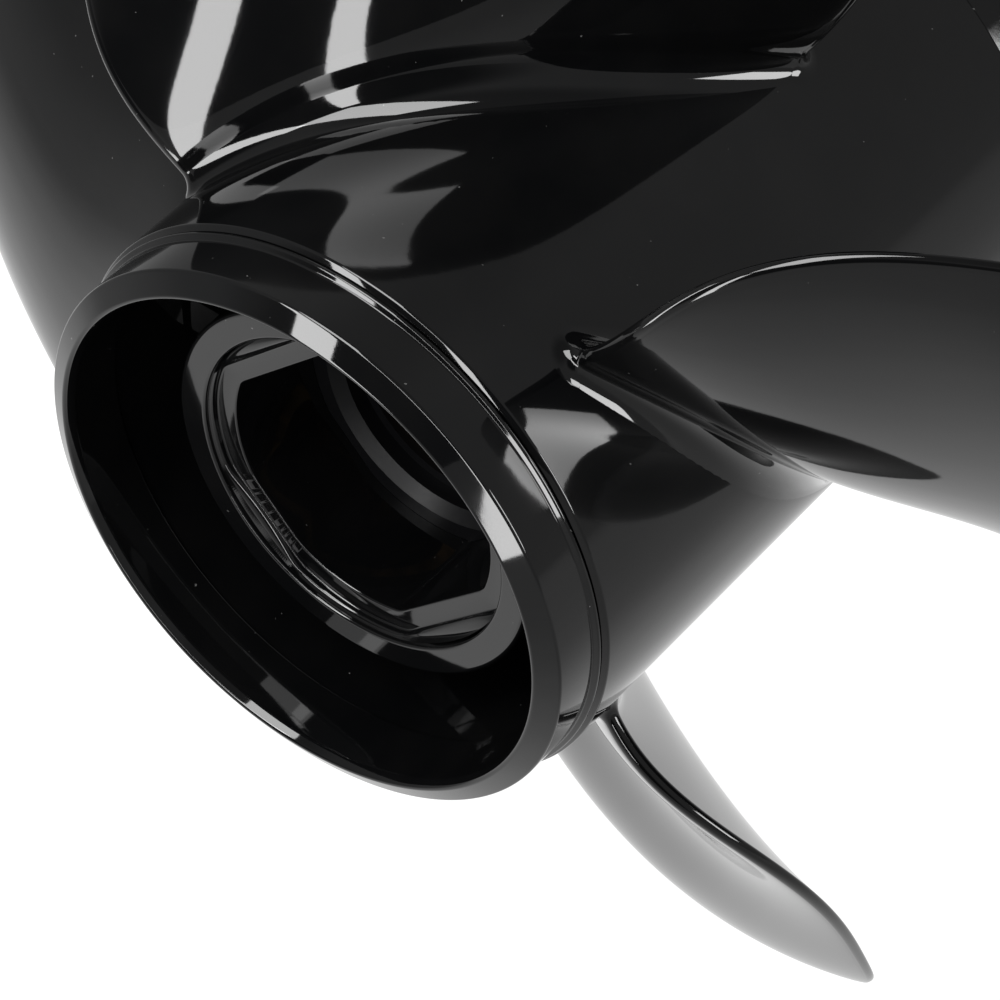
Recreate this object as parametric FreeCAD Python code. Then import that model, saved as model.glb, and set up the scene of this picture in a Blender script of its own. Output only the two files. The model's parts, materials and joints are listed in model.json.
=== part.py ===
import FreeCAD, Part
import math
import os

V = FreeCAD.Vector

# Boat propeller, millimetres. The shaft axis is X and the front (engine) end looks to +X.
# The origin is the middle of the adapter's plain pilot bore, on the shaft axis.
# Everything along the shaft is laid out as a setback behind the front lip's outer edge.
LIP_X = 42.0                   # x of the front lip's outer edge

TIP_R = 137.16                 # half of the 10.8 in diameter
BLADE_COUNT = 4
CLOCK = math.radians(30.2)     # station angle zero, measured from +Z

# Outer barrel, its front collar and its rear flare
COLLAR_R = 43.2
COLLAR_BORE_R = 39.6
LIP_NOSE = 2.1                 # the lip's inner edge stands this far in front of its outer edge
COLLAR_LEN = 7.0
GROOVE_R = 42.6
GROOVE_LEN = 0.7
RIDGE_LEN = 0.5
BARREL_R = 44.5
BARREL_BORE_R = 39.0
STEP_AT = 8.2                  # setback of the step where collar meets barrel
BARREL_END = 111.5
FLARE_END = 121.0
FLARE_R = 48.2
FLARE_BORE_R = 45.4

# Inner hub with its four-flat socket
HUB_R = 29.8
HUB_FACE = 10.5
HUB_END = 92.0
RECESS_R = 25.3
LEDGE_AT = 12.9                # setback of the ledge round the socket's opening
SOCKET_R = 21.7                # rounded corners of the socket
SOCKET_FLATS = (19.3, 21.0)    # centre to flat, one opposite pair deeper than the other
FLAT_DEG = -74.0               # station angle of the first flat
SEAT_AT = 84.0                 # end of the socket, where the flange's seat begins
SEAT_R = 24.08
WEB_COUNT = 4
WEB_THICK = 6.0
WEB_START = 24.0
WEB_END = 90.0

# Moulded drive sleeve
SLEEVE_FRONT = 29.3
SLEEVE_GAP = 0.06
SLEEVE_MOUTH_R = 17.6
SLEEVE_CHAMFER = 1.6
SLEEVE_RIM = 4.0
SLEEVE_BORE_R = 16.08
SLOT_R = 19.7
SLOT_HALF_DEG = 19.0
SLOT_FRONT = 47.0

# Splined brass adapter
ADAPTER_R = 16.0
ADAPTER_FRONT = 36.0
PILOT_R = 13.6
PILOT_LEN = 12.0
SPLINE_MINOR_R = 11.6
SPLINE_MAJOR_R = 12.8
SPLINE_COUNT = 13
LUG_R = 19.4
LUG_HALF_DEG = 12.0
LUG_FRONT = 50.0
FLANGE_R = 24.0
FLANGE_END = 90.0

# Retaining stack behind the adapter
SHAFT_THREAD_R = 9.5
WASHER_R = 22.0
WASHER_BORE_R = 12.1
WASHER_END = 94.0
TAB_R = 20.5
TAB_END = 95.2
TAB_WIDTH = 9.0
TAB_RISE = 5.0
NUT_FLATS = 30.2
NUT_END = 105.2
LOCK_RING_R = 12.6
LOCK_RING_BORE_R = 9.3
LOCK_RING_LEN = 3.6

# Blade stations: radius, leading edge angle and setback, trailing edge angle and setback,
# greatest thickness, camber (share by which the pitch falls at the leading edge).
# Angles grow clockwise seen from the front.
BLADE_STATIONS = [
    (43.2, -78.9, 23.2, -3.5, 81.0, 7.1, 0.000),
    (54.0, -79.2, 21.4, -2.3, 83.3, 8.9, -0.130),
    (64.8, -79.8, 23.1, -3.0, 85.8, 9.1, -0.195),
    (75.6, -78.7, 27.4, -4.5, 87.3, 8.5, -0.205),
    (86.4, -75.3, 34.0, -6.3, 87.5, 7.8, -0.169),
    (97.2, -70.1, 41.5, -8.5, 86.7, 7.2, -0.096),
    (108.0, -64.8, 49.0, -11.1, 85.8, 6.7, 0.002),
    (118.8, -60.1, 56.3, -14.6, 85.1, 6.0, 0.115),
    (127.0, -55.9, 62.9, -18.6, 84.6, 4.9, 0.205),
    (132.5, -50.8, 68.9, -23.3, 83.8, 3.7, 0.265),
    (136.0, -43.9, 74.6, -29.4, 82.1, 2.5, 0.302),
    (TIP_R, -38.6, 78.0, -34.3, 80.1, 2.0, 0.310),
]
EDGE_AT_ROOT = 2.4             # thickness of both edges, falling evenly to the tip
EDGE_AT_TIP = 1.2
ROOT_FILLET = 5.5              # the arc is cut off where it meets the barrel at a slope
ROOT_FILLET_RISE = 4.4
SIDE_STEPS = 17
STROKE_R = 43.5                # blades are drawn down to this radius, then cut at the barrel


def at(setback, radius, angle_deg):
    """Point at a setback behind the lip, a radius and a station angle."""
    turn = math.radians(angle_deg) + CLOCK
    return V(LIP_X - setback, radius * math.sin(turn), radius * math.cos(turn))


def revolve(profile):
    """Solid of revolution about X from a list of (setback, radius) corners."""
    corners = [V(LIP_X - s, 0, r) for s, r in profile]
    face = Part.Face(Part.makePolygon(corners + [corners[0]]))
    return face.revolve(V(0, 0, 0), V(1, 0, 0), 360)


def rod(start, end, radius):
    """Cylinder on the shaft axis between two setbacks."""
    return Part.makeCylinder(radius, end - start, V(LIP_X - end, 0, 0), V(1, 0, 0))


def tube(start, end, outer, inner):
    return rod(start, end, outer).cut(rod(start - 1, end + 1, inner))


def sector(start, end, outer, middle_deg, half_deg):
    """Pie slice about the shaft axis, used for lugs and slots."""
    reach = outer * 1.6
    corners = [V(LIP_X - end, 0, 0)]
    for k in range(5):
        corners.append(at(end, reach, middle_deg + half_deg * (k - 2) / 2.0))
    face = Part.Face(Part.makePolygon(corners + [corners[0]]))
    return face.extrude(V(end - start, 0, 0)).common(rod(start, end, outer))


def flatted_bar(start, end, corner_r, flats):
    """Round bar with four flats, in two opposite pairs."""
    bar = rod(start, end, corner_r)
    for k in range(4):
        angle = FLAT_DEG + 90.0 * k
        out = (at(0, 1, angle) - at(0, 0, angle))
        side = out.cross(V(1, 0, 0))
        mid = V(LIP_X - end, 0, 0) + out * flats[k % 2]
        corners = [mid + side * 40, mid - side * 40,
                   mid - side * 40 + out * 20, mid + side * 40 + out * 20]
        slab = Part.Face(Part.makePolygon(corners + [corners[0]])).extrude(V(end - start, 0, 0))
        bar = bar.cut(slab)
    return bar


def front_collar():
    return revolve([
        (0.0, COLLAR_R), (-1.2, COLLAR_R - 0.9), (-LIP_NOSE, COLLAR_BORE_R + 0.9),
        (-LIP_NOSE + 0.3, COLLAR_BORE_R), (STEP_AT, COLLAR_BORE_R), (STEP_AT, COLLAR_R - 0.3),
        (COLLAR_LEN + GROOVE_LEN, GROOVE_R), (COLLAR_LEN, GROOVE_R), (COLLAR_LEN - 0.5, COLLAR_R)])


def outer_barrel():
    return revolve([
        (STEP_AT, BARREL_BORE_R), (STEP_AT, COLLAR_R - 0.3), (STEP_AT + RIDGE_LEN, BARREL_R),
        (BARREL_END, BARREL_R), (BARREL_END, BARREL_BORE_R + 1.6)])


def rear_flare():
    return revolve([
        (BARREL_END, BARREL_BORE_R + 1.6), (BARREL_END, BARREL_R), (BARREL_END + 4.0, BARREL_R + 0.9),
        (FLARE_END, FLARE_R), (FLARE_END, FLARE_BORE_R)])


def inner_hub():
    body = rod(HUB_FACE, HUB_END, HUB_R)
    recess = rod(HUB_FACE - 1, LEDGE_AT, RECESS_R)
    socket = flatted_bar(HUB_FACE + 1, SEAT_AT + 1, SOCKET_R, SOCKET_FLATS)
    seat = rod(SEAT_AT, HUB_END + 1, SEAT_R)
    return body.cut(recess).cut(socket).cut(seat)


def web(index):
    """Rib between the inner hub and the barrel."""
    angle = FLAT_DEG + 45.0 + 360.0 / WEB_COUNT * index
    out = at(0, 1, angle) - at(0, 0, angle)
    side = out.cross(V(1, 0, 0))
    start = V(LIP_X - WEB_END, 0, 0) + out * (HUB_R - 4)
    end = V(LIP_X - WEB_END, 0, 0) + out * (BARREL_BORE_R + 4)
    half = side * (WEB_THICK / 2)
    corners = [start + half, start - half, end - half, end + half]
    slab = Part.Face(Part.makePolygon(corners + [corners[0]])).extrude(V(WEB_END - WEB_START, 0, 0))
    return slab.common(tube(WEB_START, WEB_END, BARREL_BORE_R, HUB_R))


def station(radius):
    """Blade station at any radius, by smooth interpolation of the table."""
    rows = BLADE_STATIONS
    if radius <= rows[0][0]:
        return rows[0][1:]
    for i in range(len(rows) - 1):
        if radius <= rows[i + 1][0] + 1e-9:
            break
    before, low, high, after = rows[max(i - 1, 0)], rows[i], rows[i + 1], rows[min(i + 2, len(rows) - 1)]
    span = high[0] - low[0]
    u = (radius - low[0]) / span
    out = []
    for c in range(1, 7):
        rise_low = (high[c] - before[c]) / (high[0] - before[0]) * span
        rise_high = (after[c] - low[c]) / (after[0] - low[0]) * span
        out.append((2 * u ** 3 - 3 * u ** 2 + 1) * low[c] + (u ** 3 - 2 * u ** 2 + u) * rise_low
                   + (3 * u ** 2 - 2 * u ** 3) * high[c] + (u ** 3 - u ** 2) * rise_high)
    return out


def blade_section(radius):
    """Closed loop of points round the blade on the cylinder of one radius."""
    lead_deg, lead_set, trail_deg, trail_set, thick, camber = station(radius)
    rise = min(ROOT_FILLET_RISE, max(0.0, ROOT_FILLET_RISE - (radius - BARREL_R)))
    run = math.sqrt(ROOT_FILLET ** 2 - rise ** 2)
    spread = ROOT_FILLET - run + max(0.0, BARREL_R - radius) * rise / run
    edge = EDGE_AT_ROOT + (EDGE_AT_TIP - EDGE_AT_ROOT) * (radius - STROKE_R) / (TIP_R - STROKE_R)
    arc = radius * math.radians(trail_deg - lead_deg)
    drop = trail_set - lead_set

    def middle(s):
        """Mid-line point, its direction and the half thickness there, unrolled on the cylinder."""
        along = arc * s
        back = drop * (s + camber * s * (s - 1))
        slope = drop * (1 + camber * (2 * s - 1))
        length = math.hypot(arc, slope)
        tangent = (arc / length, slope / length)
        half = (edge + (thick - edge) * math.sin(math.pi * s) ** 0.85) / 2
        lift = half - edge / 2
        normal = (tangent[1], -tangent[0])
        return (along + normal[0] * lift, back + normal[1] * lift), tangent, normal, half + spread

    def place(x, y):
        return at(lead_set + y, radius, lead_deg + math.degrees(x / radius))

    loop = []
    steps = [0.5 - 0.5 * math.cos(math.pi * k / (SIDE_STEPS - 1)) for k in range(SIDE_STEPS)]
    for s in reversed(steps):
        (x, y), t, n, h = middle(s)
        loop.append(place(x + n[0] * h, y + n[1] * h))
    for k in (1, 2, 3):
        (x, y), t, n, h = middle(0.0)
        c, d = math.cos(math.pi * k / 4), math.sin(math.pi * k / 4)
        loop.append(place(x + h * (n[0] * c - t[0] * d), y + h * (n[1] * c - t[1] * d)))
    for s in steps:
        (x, y), t, n, h = middle(s)
        loop.append(place(x - n[0] * h, y - n[1] * h))
    for k in (1, 2, 3):
        (x, y), t, n, h = middle(1.0)
        c, d = math.cos(math.pi * k / 4), math.sin(math.pi * k / 4)
        loop.append(place(x + h * (-n[0] * c + t[0] * d), y + h * (-n[1] * c + t[1] * d)))
    loop.append(loop[0])
    return loop


def blade():
    radii = [STROKE_R, BARREL_R, 45.4, 46.6, 48.2, 50.6, 54.6, 60.0, 67.0, 76.0, 86.0,
             96.0, 106.0, 115.0, 122.5, 128.0, 132.5, 135.3, 136.6, TIP_R]
    surface = Part.BSplineSurface()
    surface.interpolate([blade_section(r) for r in radii])
    skin = surface.toShape()
    caps = []
    for edge in skin.Edges:
        if edge.isClosed() and edge.Length > 1:
            caps.append(Part.makeFilledFace([edge]))
    shell = Part.makeShell([skin] + caps)
    shell.sewShape()
    solid = Part.makeSolid(shell)
    if solid.Volume < 0:
        solid.reverse()
    return solid.cut(rod(-20, 140, BARREL_R))


def drive_sleeve():
    flats = [flat - SLEEVE_GAP for flat in SOCKET_FLATS]
    body = flatted_bar(SLEEVE_FRONT, SEAT_AT, SOCKET_R - SLEEVE_GAP, flats)
    body = body.cut(revolve([(SLEEVE_FRONT - 1, 0), (SLEEVE_FRONT - 1, SLEEVE_MOUTH_R + SLEEVE_CHAMFER + 1),
                             (SLEEVE_FRONT + SLEEVE_CHAMFER, SLEEVE_MOUTH_R),
                             (SLEEVE_FRONT + SLEEVE_CHAMFER, 0)]))
    body = body.cut(rod(SLEEVE_FRONT - 1, SLEEVE_FRONT + SLEEVE_RIM, SLEEVE_MOUTH_R))
    body = body.cut(rod(SLEEVE_FRONT, SEAT_AT + 1, SLEEVE_BORE_R))
    for k in range(4):
        body = body.cut(sector(SLOT_FRONT, SEAT_AT + 1, SLOT_R, FLAT_DEG + 45 + 90 * k, SLOT_HALF_DEG))
    return body


def spline_adapter():
    body = rod(ADAPTER_FRONT, FLANGE_END, ADAPTER_R)
    body = body.fuse(rod(SEAT_AT + 0.1, FLANGE_END, FLANGE_R))
    for k in range(4):
        body = body.fuse(sector(LUG_FRONT, SEAT_AT + 0.2, LUG_R, FLAT_DEG + 45 + 90 * k, LUG_HALF_DEG))
    body = body.cut(rod(ADAPTER_FRONT - 1, ADAPTER_FRONT + PILOT_LEN, PILOT_R))
    body = body.cut(rod(ADAPTER_FRONT, FLANGE_END + 1, SPLINE_MINOR_R))
    for k in range(SPLINE_COUNT):
        groove = sector(ADAPTER_FRONT + 1, FLANGE_END + 1, SPLINE_MAJOR_R, 360.0 / SPLINE_COUNT * k, 6.5)
        body = body.cut(groove)
    return body


def thrust_washer():
    return tube(FLANGE_END, WASHER_END, WASHER_R, WASHER_BORE_R)


def tab_washer():
    """Thin washer with two tabs bent up against the nut's flats."""
    body = tube(WASHER_END, TAB_END, TAB_R, SHAFT_THREAD_R + 0.3)
    for side in (1, -1):
        low = min(side * (NUT_FLATS / 2 + 0.05), side * (NUT_FLATS / 2 + 1.35))
        body = body.fuse(Part.makeBox(TAB_RISE, 1.3, TAB_WIDTH, V(LIP_X - TAB_END - TAB_RISE, low, -TAB_WIDTH / 2)))
    return body.removeSplitter()


def prop_nut():
    reach = NUT_FLATS / math.sqrt(3)
    corners = [V(LIP_X - NUT_END, reach * math.sin(math.radians(60 * k)), reach * math.cos(math.radians(60 * k)))
               for k in range(6)]
    body = Part.Face(Part.makePolygon(corners + [corners[0]])).extrude(V(NUT_END - TAB_END, 0, 0))
    chamfer = revolve([(TAB_END - 1, 0), (TAB_END - 1, reach + 2), (NUT_END - 1.4, reach + 2),
                       (NUT_END - 1.4, reach), (NUT_END, reach - 2.0), (NUT_END, 0)])
    body = body.common(chamfer)
    body = body.cut(rod(TAB_END - 1, NUT_END + 1, SHAFT_THREAD_R))
    return body.cut(rod(NUT_END - LOCK_RING_LEN, NUT_END + 1, LOCK_RING_R))


def nut_lock_ring():
    return tube(NUT_END - LOCK_RING_LEN, NUT_END, LOCK_RING_R, LOCK_RING_BORE_R)


def main():
    os.makedirs("parts", exist_ok=True)
    nodes = {
        "front_collar": front_collar(),
        "outer_barrel": outer_barrel(),
        "rear_flare": rear_flare(),
        "inner_hub": inner_hub(),
        "drive_sleeve": drive_sleeve(),
        "spline_adapter": spline_adapter(),
        "thrust_washer": thrust_washer(),
        "tab_washer": tab_washer(),
        "prop_nut": prop_nut(),
        "nut_lock_ring": nut_lock_ring(),
    }
    for k in range(WEB_COUNT):
        nodes["web_%d" % (k + 1)] = web(k)
    first = blade()
    for k in range(BLADE_COUNT):
        turned = first.copy()
        turned.rotate(V(0, 0, 0), V(-1, 0, 0), 360.0 / BLADE_COUNT * k)
        nodes["blade_%d" % (k + 1)] = turned
    for name, shape in nodes.items():
        shape.exportStep("parts/%s.step" % name)
        print(name, shape.isValid(), len(shape.Solids), round(shape.Volume / 1000, 2))


main()
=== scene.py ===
import json
import math

import bpy
import numpy as np
from mathutils import Matrix, Vector


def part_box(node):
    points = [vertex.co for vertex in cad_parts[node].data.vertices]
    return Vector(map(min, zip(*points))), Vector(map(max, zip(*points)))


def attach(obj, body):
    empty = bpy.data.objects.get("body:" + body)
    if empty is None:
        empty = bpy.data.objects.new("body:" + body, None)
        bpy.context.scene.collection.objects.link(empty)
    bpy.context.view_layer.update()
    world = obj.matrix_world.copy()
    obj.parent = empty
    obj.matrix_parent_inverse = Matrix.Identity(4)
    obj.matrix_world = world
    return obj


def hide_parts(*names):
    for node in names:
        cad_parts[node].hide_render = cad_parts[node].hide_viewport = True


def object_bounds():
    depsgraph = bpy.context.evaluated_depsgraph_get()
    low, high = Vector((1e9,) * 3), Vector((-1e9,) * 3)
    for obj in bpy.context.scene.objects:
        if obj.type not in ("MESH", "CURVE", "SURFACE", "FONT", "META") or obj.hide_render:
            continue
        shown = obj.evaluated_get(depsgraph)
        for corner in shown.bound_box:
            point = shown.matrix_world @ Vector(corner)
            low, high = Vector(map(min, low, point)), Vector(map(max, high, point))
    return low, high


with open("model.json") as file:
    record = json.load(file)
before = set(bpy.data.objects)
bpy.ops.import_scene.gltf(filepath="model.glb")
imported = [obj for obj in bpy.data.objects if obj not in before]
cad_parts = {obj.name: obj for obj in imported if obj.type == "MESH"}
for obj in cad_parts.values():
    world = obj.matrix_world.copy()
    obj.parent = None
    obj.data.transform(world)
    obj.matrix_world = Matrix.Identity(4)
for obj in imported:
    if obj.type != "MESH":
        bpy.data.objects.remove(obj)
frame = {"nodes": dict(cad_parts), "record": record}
CAD_LO, CAD_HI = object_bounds()
MM = 0.001

# The shaft runs along X. Shapes are drawn by setback behind the front lip's outer edge (mm),
# radius (mm) and station angle (degrees, clockwise seen from the front).
LIP_NOSE = 2.1                # the lip's inner edge stands this far ahead of its outer edge
LIP_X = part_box("front_collar")[1].x / MM - LIP_NOSE
TIP_R = 137.16
CLOCK = math.radians(30.2)    # where the first blade's station angles start
FLAT_DEG = -74.0              # station angle of the socket's first flat


def clocked(setback, radius, angle):
    """Points in metres from arrays of setback, radius and station angle in radians."""
    setback, radius, angle = np.broadcast_arrays(setback, radius, angle)
    turn = angle + CLOCK
    return np.stack([LIP_X - setback, radius * np.sin(turn), radius * np.cos(turn)], -1) * MM


def grid_mesh(name, grid, wrap_rows=False, cap_last=False):
    """Quad mesh over a rows x columns grid of points whose rows are closed loops."""
    rows, cols = grid.shape[:2]
    ids = np.arange(rows * cols).reshape(rows, cols)
    a = ids if wrap_rows else ids[:-1]
    b = np.roll(ids, -1, 0) if wrap_rows else ids[1:]
    quads = np.stack([a, np.roll(a, -1, 1), np.roll(b, -1, 1), b], -1)
    faces = quads.reshape(-1, 4).tolist()
    if cap_last:
        faces.append(ids[-1].tolist())
    mesh = bpy.data.meshes.new(name)
    mesh.from_pydata(grid.reshape(-1, 3).tolist(), [], faces)
    mesh.validate()
    mesh.polygons.foreach_set("use_smooth", [True] * len(mesh.polygons))
    mesh.update()
    thing = bpy.data.objects.new(name, mesh)
    bpy.context.collection.objects.link(thing)
    return thing


def soften(corners, steps=7):
    """Closed outline from (setback, radius, fillet) corners, each fillet an arc."""
    out = []
    count = len(corners)
    for i, (x, y, fillet) in enumerate(corners):
        here = Vector((x, y))
        back = Vector(corners[i - 1][:2]) - here
        ahead = Vector(corners[(i + 1) % count][:2]) - here
        if fillet <= 0:
            out.append((x, y))
            continue
        half = back.angle(ahead) / 2
        reach = min(fillet / math.tan(half), back.length * 0.49, ahead.length * 0.49)
        radius = reach * math.tan(half)
        back.normalize()
        ahead.normalize()
        centre = here + (back + ahead).normalized() * (radius / math.sin(half))
        start = (here + back * reach) - centre
        sweep = start.angle_signed((here + ahead * reach) - centre)
        for k in range(steps + 1):
            t = -sweep * k / steps
            out.append((centre.x + start.x * math.cos(t) - start.y * math.sin(t),
                        centre.y + start.x * math.sin(t) + start.y * math.cos(t)))
    return out


def spaced(outline, gap=4.0, edge=0.12):
    """Adds points along long straight runs, and one close to each end so shading stays crisp."""
    out = []
    for (x0, y0), (x1, y1) in zip(outline, outline[1:] + outline[:1]):
        out.append((x0, y0))
        length = math.hypot(x1 - x0, y1 - y0)
        if length > 1.0:
            count = int(length / gap)
            marks = [edge / length] + [k / (count + 1) for k in range(1, count + 1)]
            marks.append(1 - edge / length)
            for t in sorted(marks):
                out.append((x0 + (x1 - x0) * t, y0 + (y1 - y0) * t))
    return out


def lathe(name, corners, segments=360):
    """Ring turned about the shaft from (setback, radius, fillet) corners."""
    outline = np.array(spaced(soften(corners)))
    turn = np.linspace(0, 2 * math.pi, segments, endpoint=False)
    grid = clocked(outline[:, 0][:, None], outline[:, 1][:, None], turn[None])
    return grid_mesh(name, grid, wrap_rows=True)


def flatted(angle, corner_r, flats, blend):
    """Radius of a round bar with two pairs of flats at a station angle, corners rounded by blend."""
    widest, clear = 1.2, 99.0     # a flat counts only within this angle of its middle
    out = corner_r + 0 * angle
    for k in range(4):
        off = (angle - math.radians(FLAT_DEG + 90 * k) + math.pi) % (2 * math.pi) - math.pi
        reach = flats[k % 2] / np.cos(np.clip(off, -widest, widest))
        reach = np.where(np.abs(off) < widest, reach, clear)
        h = np.clip(0.5 + (reach - out) / (2 * blend), 0, 1)
        out = reach * (1 - h) + out * h - blend * h * (1 - h)
    return out


# ---------------------------------------------------------------- blades
# Radius, leading edge angle and setback, trailing edge angle and setback, greatest thickness,
# camber (share by which the pitch falls at the leading edge).
STATIONS = np.array([
    (43.2, -80.4, 23.0, -3.5, 81.0, 7.1, 0.000),
    (54.0, -79.2, 21.4, -2.3, 83.3, 8.9, -0.130),
    (64.8, -79.8, 23.1, -3.0, 85.8, 9.1, -0.195),
    (75.6, -78.7, 27.4, -4.5, 87.3, 8.5, -0.205),
    (86.4, -75.3, 34.0, -6.3, 87.5, 7.8, -0.169),
    (97.2, -70.1, 41.5, -8.5, 86.7, 7.2, -0.096),
    (108.0, -64.8, 49.0, -11.1, 85.8, 6.7, 0.002),
    (118.8, -60.1, 56.3, -14.6, 85.1, 6.0, 0.115),
    (127.0, -55.9, 62.9, -18.6, 84.6, 4.9, 0.205),
    (132.5, -50.8, 68.9, -23.3, 83.8, 3.7, 0.265),
    (136.0, -43.9, 74.6, -29.4, 82.1, 2.5, 0.302)])
BARREL_R = 44.5
SUNK = 0.02                   # the blades start this far inside the barrel
NOSE_FILLET = 3.2             # root fillet at both edges
ROOT_FILLET = 6.0             # root fillet at mid chord
EDGE_AT_ROOT = 2.4            # thickness of both edges, falling evenly to the tip
EDGE_AT_TIP = 1.2
CROWN_R = 128.0               # from here outward the rows close up towards the tip
THIN_CHORD = 12.0             # below this chord the section shrinks with it
TIP_ROUND = 7                 # power of the taper that rounds the tip
EDGE_DEGREE, THICK_DEGREE, CAMBER_DEGREE = 5, 4, 3      # of the smooth fits along the radius


def smooth_stations(radius):
    """Leading and trailing edge, thickness and camber at each radius, from one smooth fit."""
    r = STATIONS[:, 0] / TIP_R
    lead, trail = np.radians(STATIONS[:, 1]), np.radians(STATIONS[:, 3])
    taper = np.sqrt(1 - r ** TIP_ROUND)
    half = (trail - lead) / 2 / taper
    middle = (trail + lead) / 2
    pitch = (STATIONS[:, 4] - STATIONS[:, 2]) / (trail - lead)
    centre = (STATIONS[:, 4] + STATIONS[:, 2]) / 2
    q = np.clip(radius / TIP_R, 0, 1)

    def fit(values, degree):
        return np.polyval(np.polyfit(r, values, degree), q)

    chord = fit(half, EDGE_DEGREE) * np.sqrt(np.clip(1 - q ** TIP_ROUND, 0, 1))
    mid, steep, axial = (fit(values, EDGE_DEGREE) for values in (middle, pitch, centre))
    thick, camber = fit(STATIONS[:, 5], THICK_DEGREE), fit(STATIONS[:, 6], CAMBER_DEGREE)
    return mid - chord, axial - steep * chord, mid + chord, axial + steep * chord, thick, camber


def blade_grid(turn_deg):
    """Rows are closed sections on cylinders of growing radius, from the root fillet to the tip."""
    rise = np.linspace(0, 1, 15)
    radius = np.concatenate([
        BARREL_R - SUNK + ROOT_FILLET * (1 - np.cos(rise * math.pi / 2)),
        np.linspace(BARREL_R + ROOT_FILLET, CROWN_R, 62)[1:],
        CROWN_R + (TIP_R - CROWN_R) * np.sin(np.linspace(0, math.pi / 2, 22))[1:]])
    lead, lead_set, trail, trail_set, thick, camber = smooth_stations(radius)
    arc = (radius * (trail - lead))[:, None]
    drop = (trail_set - lead_set)[:, None]
    camber = camber[:, None]
    size = np.minimum(1, arc / THIN_CHORD)
    edge = np.interp(radius, [BARREL_R, TIP_R], [EDGE_AT_ROOT, EDGE_AT_TIP])[:, None] * size
    peak = np.maximum(thick[:, None] * size, edge)

    def middle(s):
        """Middle of the section at share s of the chord, its direction and its half thickness."""
        back = drop * (s + camber * s * (s - 1))
        slope = drop * (1 + camber * (2 * s - 1))
        length = np.hypot(arc, slope) + 1e-9
        tx, ty = arc / length, slope / length
        half = (edge + (peak - edge) * np.sin(math.pi * s) ** 0.85) / 2
        lift = half - edge / 2
        fillet = NOSE_FILLET + (ROOT_FILLET - NOSE_FILLET) * np.sin(math.pi * s)
        left = np.clip(fillet - (radius[:, None] - BARREL_R), 0, fillet)
        spread = fillet - np.sqrt(np.maximum(0, fillet ** 2 - left ** 2))
        return arc * s + ty * lift, back - tx * lift, tx, ty, half + spread

    sides = 0.5 - 0.5 * np.cos(math.pi * np.linspace(0, 1, 56))
    nose = np.linspace(0, math.pi, 12)[1:-1]
    x, y, tx, ty, h = middle(sides[::-1][None])
    loops = [(x + ty * h, y - tx * h)]
    x, y, tx, ty, h = middle(np.zeros((1, 1)))
    c, d = np.cos(nose)[None], np.sin(nose)[None]
    loops.append((x + h * (ty * c - tx * d), y + h * (-tx * c - ty * d)))
    x, y, tx, ty, h = middle(sides[None])
    loops.append((x - ty * h, y + tx * h))
    x, y, tx, ty, h = middle(np.ones((1, 1)))
    loops.append((x + h * (-ty * c + tx * d), y + h * (tx * c + ty * d)))
    along = np.concatenate([p[0] for p in loops], 1)
    back = np.concatenate([p[1] for p in loops], 1)
    angle = lead[:, None] + along / radius[:, None] + math.radians(turn_deg)
    return clocked(lead_set[:, None] + back, radius[:, None], angle)


# ---------------------------------------------------------------- casting
COLLAR_R, COLLAR_BORE = 43.2, 39.2
RIDGE_R = 43.95               # low ridge between the collar and the step
STEP_AT = 8.2                 # setback of the step where collar meets barrel
BARREL_BORE, REAR_BORE = 39.6, 40.6
BARREL_END, FLARE_END = 111.5, 121.0
FLARE_R, FLARE_BORE = 48.2, 45.4


def build_rings():
    """The casting's three outer rings, with rounded lip, groove, ridge and rear edge."""
    return {
        "front_collar": lathe("front_collar_skin", [
            (0.0, COLLAR_R, 0.5), (-2.0, 39.75, 0.5), (-0.4, COLLAR_BORE, 1.6), (STEP_AT, COLLAR_BORE, 0),
            (STEP_AT, 43.0, 0), (7.8, RIDGE_R, 0.2), (7.35, RIDGE_R, 0.35), (6.95, COLLAR_R, 0.3)]),
        "outer_barrel": lathe("outer_barrel_skin", [
            (STEP_AT, BARREL_BORE, 0.2), (STEP_AT, 43.75, 0.12), (8.75, BARREL_R, 0.45),
            (BARREL_END, BARREL_R, 0), (BARREL_END, REAR_BORE, 0)]),
        "rear_flare": lathe("rear_flare_skin", [
            (BARREL_END, REAR_BORE, 0), (BARREL_END, BARREL_R, 0), (115.5, 45.4, 12),
            (FLARE_END, FLARE_R, 0.7), (FLARE_END, FLARE_BORE, 0.7)]),
    }


made = build_rings()
for k in range(4):
    made["blade_%d" % (k + 1)] = grid_mesh("blade_%d_skin" % (k + 1), blade_grid(90.0 * k), cap_last=True)


# ---------------------------------------------------------------- inner hub
HUB_FACE, HUB_END, HUB_R = 10.5, 92.0, 29.8
RECESS_R = 25.2
LEDGE_AT = 12.9               # setback of the ledge round the socket's opening
SOCKET_R, SOCKET_FLATS = 21.7, (19.3, 21.0)
PAD_R, PAD_FLATS = 25.0, (22.6, 23.6)     # outline of the ledge where it meets the recess wall
SEAT_AT, SEAT_R = 84.0, 24.08
FLAT_BLEND = 0.5
LEDGE_FILLET, MOUTH_ROUND = 0.35, 0.3


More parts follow.
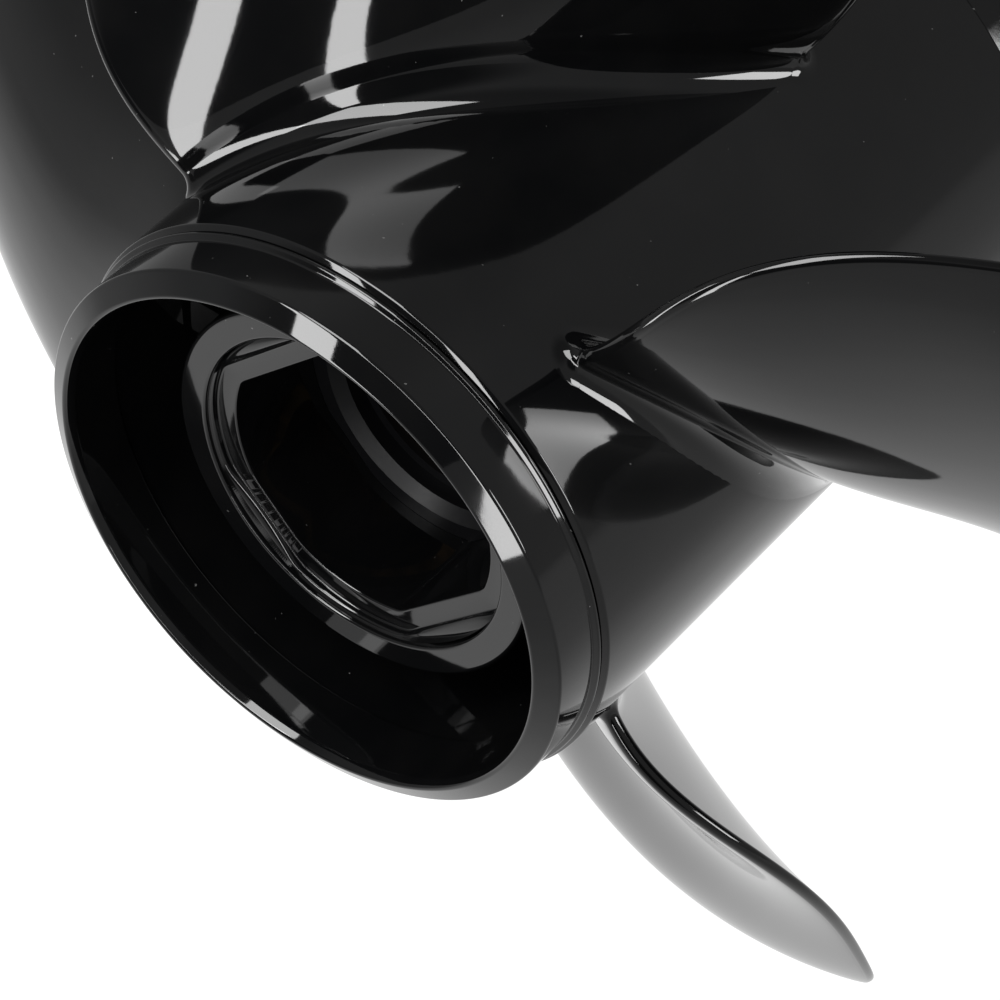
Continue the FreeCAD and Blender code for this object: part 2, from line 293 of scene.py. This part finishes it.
def inner_hub_grid():
    """Rows run from the rear, round the outside, over the front face, down the socket and back."""
    turn = np.linspace(0, 2 * math.pi, 480, endpoint=False)
    outside = soften([(HUB_END, SEAT_R, 0), (HUB_END, HUB_R, 0.6), (HUB_FACE, HUB_R, 0.7),
                      (HUB_FACE, RECESS_R + 0.05, 0.45), (12.0, RECESS_R, 0)])[1:-1]
    rows = [(setback, np.full_like(turn, radius)) for setback, radius in spaced(outside, 6.0)]
    pad = flatted(turn, PAD_R, PAD_FLATS, FLAT_BLEND)
    opening = flatted(turn, SOCKET_R, SOCKET_FLATS, FLAT_BLEND)
    rows.append((11.2, RECESS_R * 0.75 + flatted(turn, RECESS_R, (23.4, 24.2), FLAT_BLEND) * 0.25))
    rows.append((12.4, pad * 0.9 + RECESS_R * 0.1))
    for t in np.linspace(0, math.pi / 2, 5):
        rows.append((LEDGE_AT - LEDGE_FILLET * (1 - math.sin(t)), pad - LEDGE_FILLET * (1 - math.cos(t))))
    rows.append((LEDGE_AT, opening * 0.9 + pad * 0.1))
    for t in np.linspace(0, math.pi / 2, 6):
        rows.append((LEDGE_AT + MOUTH_ROUND * (1 - math.cos(t)), opening + MOUTH_ROUND * (1 - math.sin(t))))
    for setback in (13.4, 20.0, 40.0, SEAT_AT - 0.1):
        rows.append((setback, opening))
    for setback in (SEAT_AT, HUB_END - 0.1):
        rows.append((setback, np.full_like(turn, SEAT_R)))
    return np.stack([clocked(s, r, turn) for s, r in rows])


made["inner_hub"] = grid_mesh("inner_hub_skin", inner_hub_grid(), wrap_rows=True)

for node, piece in made.items():
    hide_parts(node)
    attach(piece, "casting")


# ---------------------------------------------------------------- materials
def principled(name, colour, roughness, metallic=0.0):
    """New material with the parts of its node tree."""
    mat = bpy.data.materials.new(name)
    mat.use_nodes = True
    nodes, links = mat.node_tree.nodes, mat.node_tree.links
    shader = nodes["Principled BSDF"]
    shader.inputs["Base Color"].default_value = (*colour, 1)
    shader.inputs["Roughness"].default_value = roughness
    shader.inputs["Metallic"].default_value = metallic
    return mat, nodes, links, shader


def noise(nodes, links, place, scale, detail, stretch=(1, 1, 1)):
    """Noise in object space, scale in cycles per metre."""
    shape = nodes.new("ShaderNodeMapping")
    shape.inputs["Scale"].default_value = stretch
    texture = nodes.new("ShaderNodeTexNoise")
    texture.inputs["Scale"].default_value = scale
    texture.inputs["Detail"].default_value = detail
    links.new(place.outputs["Object"], shape.inputs["Vector"])
    links.new(shape.outputs["Vector"], texture.inputs["Vector"])
    return texture.outputs["Fac"]


def ramp(nodes, links, value, low, high, out_low, out_high):
    """Maps a value between two limits onto another pair of limits."""
    node = nodes.new("ShaderNodeMapRange")
    node.interpolation_type = "SMOOTHSTEP"
    for socket, number in zip(("From Min", "From Max", "To Min", "To Max"), (low, high, out_low, out_high)):
        node.inputs[socket].default_value = number
    links.new(value, node.inputs["Value"])
    return node.outputs["Result"]


def mixed(nodes, links, value, dark, light):
    """Colour between dark and light by a value from 0 to 1."""
    mix = nodes.new("ShaderNodeMix")
    mix.data_type = "RGBA"
    mix.inputs["A"].default_value = (*dark, 1)
    mix.inputs["B"].default_value = (*light, 1)
    links.new(value, mix.inputs["Factor"])
    return mix.outputs["Result"]


def bumped(nodes, links, shader, layers):
    """Adds noise layers (value, height in metres) to the surface normal."""
    normal = None
    for value, height in layers:
        bump = nodes.new("ShaderNodeBump")
        bump.inputs["Distance"].default_value = height
        links.new(value, bump.inputs["Height"])
        if normal is not None:
            links.new(normal, bump.inputs["Normal"])
        normal = bump.outputs["Normal"]
    links.new(normal, shader.inputs["Normal"])


def gloss_black():
    """Sprayed black enamel with faint orange peel, fine tooth and a few specks of dust."""
    mat, nodes, links, shader = principled("gloss_black_paint", (0.002, 0.002, 0.002), 0.04)
    place = nodes.new("ShaderNodeTexCoord")
    cloud = ramp(nodes, links, noise(nodes, links, place, 60, 3), 0.3, 0.7, 0.0, 1.0)
    speck = ramp(nodes, links, noise(nodes, links, place, 1100, 1), 0.80, 0.83, 0.0, 1.0)
    tint = mixed(nodes, links, cloud, (0.0017, 0.0018, 0.0020), (0.0029, 0.0029, 0.0030))
    dust = nodes.new("ShaderNodeMix")
    dust.data_type = "RGBA"
    dust.inputs["B"].default_value = (0.09, 0.09, 0.088, 1)
    links.new(speck, dust.inputs["Factor"])
    links.new(tint, dust.inputs["A"])
    links.new(dust.outputs["Result"], shader.inputs["Base Color"])
    rough = ramp(nodes, links, noise(nodes, links, place, 25, 4), 0.3, 0.7, 0.035, 0.055)
    links.new(rough, shader.inputs["Roughness"])
    bumped(nodes, links, shader, [(noise(nodes, links, place, 420, 2), 2.2e-6),
                                  (noise(nodes, links, place, 5200, 1), 3.0e-7)])
    return mat


def moulded(name, dark, light, roughness, grain, shine):
    """Injection-moulded plastic: mottled colour and a fine matt grain."""
    mat, nodes, links, shader = principled(name, light, roughness)
    shader.inputs["Specular IOR Level"].default_value = shine
    place = nodes.new("ShaderNodeTexCoord")
    mottle = noise(nodes, links, place, 400, 4)
    links.new(mixed(nodes, links, mottle, dark, light), shader.inputs["Base Color"])
    wear = noise(nodes, links, place, 1500, 3)
    rough = ramp(nodes, links, wear, 0.3, 0.7, roughness * 0.9, roughness * 1.1)
    links.new(rough, shader.inputs["Roughness"])
    bumped(nodes, links, shader, [(noise(nodes, links, place, 3200, 3), grain)])
    return mat


def turned_metal(name, dark, light, roughness, mark):
    """Metal turned on a lathe about X: fine rings, blotches of darker tone and uneven polish."""
    mat, nodes, links, shader = principled(name, light, roughness, 1.0)
    place = nodes.new("ShaderNodeTexCoord")
    blotch = ramp(nodes, links, noise(nodes, links, place, 140, 5), 0.35, 0.7, 0.0, 1.0)
    links.new(mixed(nodes, links, blotch, dark, light), shader.inputs["Base Color"])
    polish = noise(nodes, links, place, 260, 4)
    rough = ramp(nodes, links, polish, 0.3, 0.7, roughness * 0.8, roughness * 1.3)
    links.new(rough, shader.inputs["Roughness"])
    rings = noise(nodes, links, place, 90, 2, (60, 1, 1))
    bumped(nodes, links, shader, [(rings, mark), (noise(nodes, links, place, 2500, 2), mark * 0.4)])
    return mat


PAINT = gloss_black()
SLOT_MATERIALS = {
    "sleeve_plastic": moulded("sleeve_plastic", (0.0022, 0.0022, 0.0026), (0.0034, 0.0034, 0.0038),
                              0.36, 4.0e-7, 0.16),
    # The adapter's brass tones are set far darker than brass: painted shade for its place deep inside the
    # socket.
    "adapter_brass": turned_metal("adapter_brass", (0.045, 0.028, 0.012), (0.16, 0.10, 0.04), 0.42, 1.5e-6),
    "stainless": turned_metal("stainless", (0.56, 0.56, 0.57), (0.66, 0.66, 0.67), 0.26, 1.0e-6),
    "lock_nylon": moulded("lock_nylon", (0.62, 0.64, 0.60), (0.78, 0.79, 0.75), 0.5, 3.0e-6, 0.5),
    "gloss_black_paint": PAINT,
}
for piece in made.values():
    piece.data.materials.clear()
    piece.data.materials.append(PAINT)
slots = {p["node"]: p["material_slot"] for p in frame["record"]["subparts"]}
for node, thing in frame["nodes"].items():
    if node not in made:
        thing.data.materials.clear()
        thing.data.materials.append(SLOT_MATERIALS[slots[node]])


# ---------------------------------------------------------------- stage, lights, camera
FLOOR_HALF = 6.0
FLOOR_GAP = 0.0005            # keeps the floor just clear of the lowest blade
floor_z = CAD_LO.z - FLOOR_GAP
floor_corners = [(x * FLOOR_HALF, y * FLOOR_HALF, floor_z) for x, y in ((-1, -1), (1, -1), (1, 1), (-1, 1))]
floor_mesh = bpy.data.meshes.new("floor")
floor_mesh.from_pydata(floor_corners, [], [(0, 1, 2, 3)])
floor = bpy.data.objects.new("floor", floor_mesh)
bpy.context.collection.objects.link(floor)


def pale_floor():
    """White studio table, lit through from below, brightest under the object."""
    mat, nodes, links, shader = principled("pale_floor", (0.16, 0.16, 0.16), 0.9)
    place = nodes.new("ShaderNodeTexCoord")
    shift = nodes.new("ShaderNodeMapping")
    shift.inputs["Location"].default_value = (0.0, 0.12, 0)
    shift.inputs["Scale"].default_value = (0.8, 1.0, 0)
    reach = nodes.new("ShaderNodeVectorMath")
    reach.operation = "LENGTH"
    links.new(place.outputs["Object"], shift.inputs["Vector"])
    links.new(shift.outputs["Vector"], reach.inputs[0])
    glow = ramp(nodes, links, reach.outputs["Value"], 0.10, 0.34, 0.84, 0.24)
    grain = ramp(nodes, links, noise(nodes, links, place, 35, 5), 0.3, 0.7, 0.97, 1.03)
    lit = nodes.new("ShaderNodeMath")
    lit.operation = "MULTIPLY"
    links.new(glow, lit.inputs[0])
    links.new(grain, lit.inputs[1])
    seen = nodes.new("ShaderNodeLightPath")
    level = nodes.new("ShaderNodeMath")
    level.operation = "MAXIMUM"
    links.new(lit.outputs[0], level.inputs[0])
    links.new(seen.outputs["Is Camera Ray"], level.inputs[1])
    shader.inputs["Emission Color"].default_value = (1, 1, 1, 1)
    links.new(level.outputs[0], shader.inputs["Emission Strength"])
    return mat


floor_mesh.materials.append(pale_floor())

world = bpy.data.worlds.new("studio")
bpy.context.scene.world = world
world.use_nodes = True
sky, sky_links = world.node_tree.nodes, world.node_tree.links
place = sky.new("ShaderNodeTexCoord")
part = sky.new("ShaderNodeSeparateXYZ")
sky_links.new(place.outputs["Generated"], part.inputs[0])
walls = ramp(sky, sky_links, part.outputs["Z"], 0.72, 0.95, 0.29, 0.14)
ahead = sky.new("ShaderNodeVectorMath")
ahead.operation = "DOT_PRODUCT"
ahead.inputs[1].default_value = (0.981, 0.086, 0.174)
sky_links.new(place.outputs["Generated"], ahead.inputs[0])
dark = ramp(sky, sky_links, ahead.outputs["Value"], 0.64, 0.85, 1.0, 0.1)
level = sky.new("ShaderNodeMath")
level.operation = "MULTIPLY"
sky_links.new(walls, level.inputs[0])
sky_links.new(dark, level.inputs[1])
seen = sky.new("ShaderNodeLightPath")
shown = sky.new("ShaderNodeMath")
shown.operation = "MAXIMUM"
sky_links.new(level.outputs[0], shown.inputs[0])
sky_links.new(seen.outputs["Is Camera Ray"], shown.inputs[1])
sky_links.new(shown.outputs[0], sky["Background"].inputs["Strength"])
sky["Background"].inputs["Color"].default_value = (1, 1, 1, 1)


def softbox(name, place, facing, upward, width, height, radiance):
    """Soft light of a given brightness, where the floor's brightness is about 1."""
    light = bpy.data.lights.new(name, "AREA")
    light.shape = "RECTANGLE"
    light.size, light.size_y = width, height
    light.energy = radiance * math.pi * width * height
    back = -Vector(facing).normalized()
    across = Vector(upward).cross(back).normalized()
    turn = Matrix((across, back.cross(across), back)).transposed().to_4x4()
    thing = bpy.data.objects.new(name, light)
    thing.matrix_world = Matrix.Translation(place) @ turn
    thing.visible_camera = False
    bpy.context.collection.objects.link(thing)


softbox("strip_left", (0.13, -0.0445, 0.083), (-1, 0, 0), (0, -0.42, 0.9), 0.020, 0.162, 13)
softbox("strip_right", (0.17, 0.0415, 0.0727), (-1, 0, 0), (0, -0.42, 0.9), 0.017, 0.205, 13)
softbox("key_box", (0.44, -0.17, 0.78), (0, 0, -1), (0, 1, 0), 0.82, 0.34, 10)
softbox("side_box", (-0.19, 0.88, 0.28), (0.19, -0.84, -0.24), (0, 0, 1), 0.30, 0.36, 13)

CAMERA_AT = Vector((0.38828, 0.29793, 0.48336))
CAMERA_LOOK = Vector((-0.55006, -0.42031, -0.72164))
SENSOR_MM, LENS_MM = 36, 180
camera_data = bpy.data.cameras.new("camera")
camera_data.sensor_width = SENSOR_MM
camera_data.lens = LENS_MM
camera = bpy.data.objects.new("camera", camera_data)
bpy.context.collection.objects.link(camera)
bpy.context.scene.camera = camera
camera.location = CAMERA_AT
camera.rotation_mode = "QUATERNION"
camera.rotation_quaternion = CAMERA_LOOK.to_track_quat("-Z", "Y")
camera_data.clip_start, camera_data.clip_end = 0.01, 50
bpy.context.scene.view_settings.view_transform = "Standard"

bpy.context.view_layer.update()
